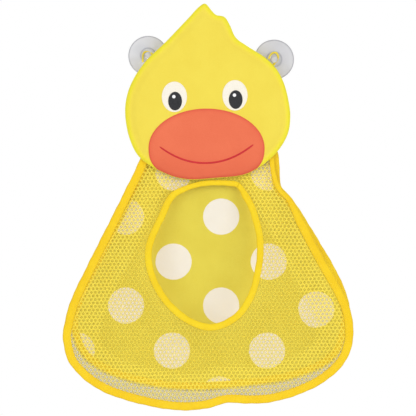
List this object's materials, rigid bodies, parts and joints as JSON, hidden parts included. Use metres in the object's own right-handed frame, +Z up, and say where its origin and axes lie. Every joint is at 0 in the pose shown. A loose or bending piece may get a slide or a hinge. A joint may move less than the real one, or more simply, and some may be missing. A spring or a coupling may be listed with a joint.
{
  "type": "bath toy organizer",
  "caption": "Hanging mesh toy bag with a padded duck head, an oval mouth in the net front, a cloth back, and suction cups on cord loops.",
  "frame": {"origin": "on the wall plane, between the two suction cups", "axes": "+X to the viewer's right, +Y into the wall, +Z up"},
  "size_m": [0.3258, 0.0644, 0.4571],
  "materials": {
    "head_cloth": "matte woven",
    "head_cloth_back": "matte woven",
    "foam": "open cell foam",
    "beak_cloth": "matte woven",
    "smile_print": "print",
    "eye_white": "print",
    "pupil": "print",
    "eye_glint": "print",
    "dotted_cloth": "woven with printed dots",
    "binding": "folded tape",
    "binding_back": "folded tape",
    "net": "knitted net",
    "pale_net": "knitted net",
    "cord": "braided cord",
    "clear_vinyl": "clear soft vinyl"
  },
  "bodies": {
    "head_and_back": {"head_back_panel": "head_cloth_back", "head_foam_pad": "foam", "head_front_panel": "head_cloth", "beak_applique": "beak_cloth", "smile_line": "smile_print", "eye_white_left": "eye_white", "pupil_left": "pupil", "eye_glint_left": "eye_glint", "eye_white_right": "eye_white", "pupil_right": "pupil", "eye_glint_right": "eye_glint", "back_panel": "dotted_cloth", "back_binding": "binding_back", "gusset_mesh": "pale_net", "neck_tape": "binding"},
    "net_front": {"front_mesh": "net", "front_binding": "binding", "opening_binding": "binding"},
    "hanger_left": {"loop_left": "cord"},
    "cup_left": {"suction_cup_left": "clear_vinyl"},
    "hanger_right": {"loop_right": "cord"},
    "cup_right": {"suction_cup_right": "clear_vinyl"}
  },
  "joints": [
    {"name": "front_fold", "type": "hinge", "parent": "head_and_back", "child": "net_front", "pos_m": [0, -0.0207, -0.0944], "axis": [1, 0, 0], "range_deg": [0, 8], "deforming": ["gusset_mesh"]},
    {"name": "loop_left_swing", "type": "hinge", "parent": "head_and_back", "child": "hanger_left", "pos_m": [-0.07032, -0.02415, 0.00148], "axis": [0.699, 0, 0.7151], "range_deg": [0, 75]},
    {"name": "cup_left_spin", "type": "hinge", "parent": "hanger_left", "child": "cup_left", "pos_m": [-0.07124, 0, 0.00239], "axis": [0, 1, 0], "continuous": true},
    {"name": "loop_right_swing", "type": "hinge", "parent": "head_and_back", "child": "hanger_right", "pos_m": [0.06805, -0.02415, -0.00491], "axis": [0.7101, 0, -0.7041], "range_deg": [0, 75]},
    {"name": "cup_right_spin", "type": "hinge", "parent": "hanger_right", "child": "cup_right", "pos_m": [0.07107, 0, -0.00185], "axis": [0, 1, 0], "continuous": true}
  ]
}
